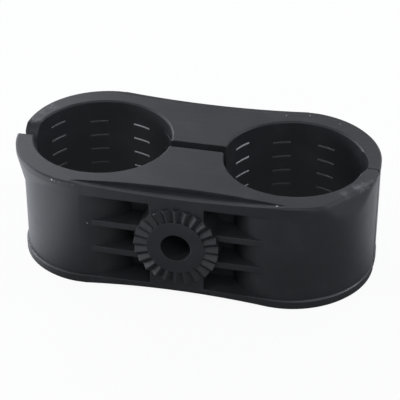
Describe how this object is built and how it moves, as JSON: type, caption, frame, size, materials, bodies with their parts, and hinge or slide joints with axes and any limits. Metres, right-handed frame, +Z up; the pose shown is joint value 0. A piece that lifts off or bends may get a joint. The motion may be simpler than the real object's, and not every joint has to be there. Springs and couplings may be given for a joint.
{
  "type": "coaxial cable clip",
  "caption": "Split clamp block for feeder cables: moulded half shells with ridged round seats, joined by a rod through serrated rosettes, with ribbed pockets and rimmed rings.",
  "frame": {"origin": "centre of the block's footprint, on the face that it rests on", "axes": "+X along the row of cable seats towards the closed heel, +Y through the rod hole towards the rear half, +Z up along the cables"},
  "size_m": [0.1052, 0.0554, 0.0335],
  "materials": {
    "shell": "satin black, as moulded"
  },
  "bodies": {
    "root": {"front_half": "shell", "rear_half": "shell"}
  },
  "joints": []
}
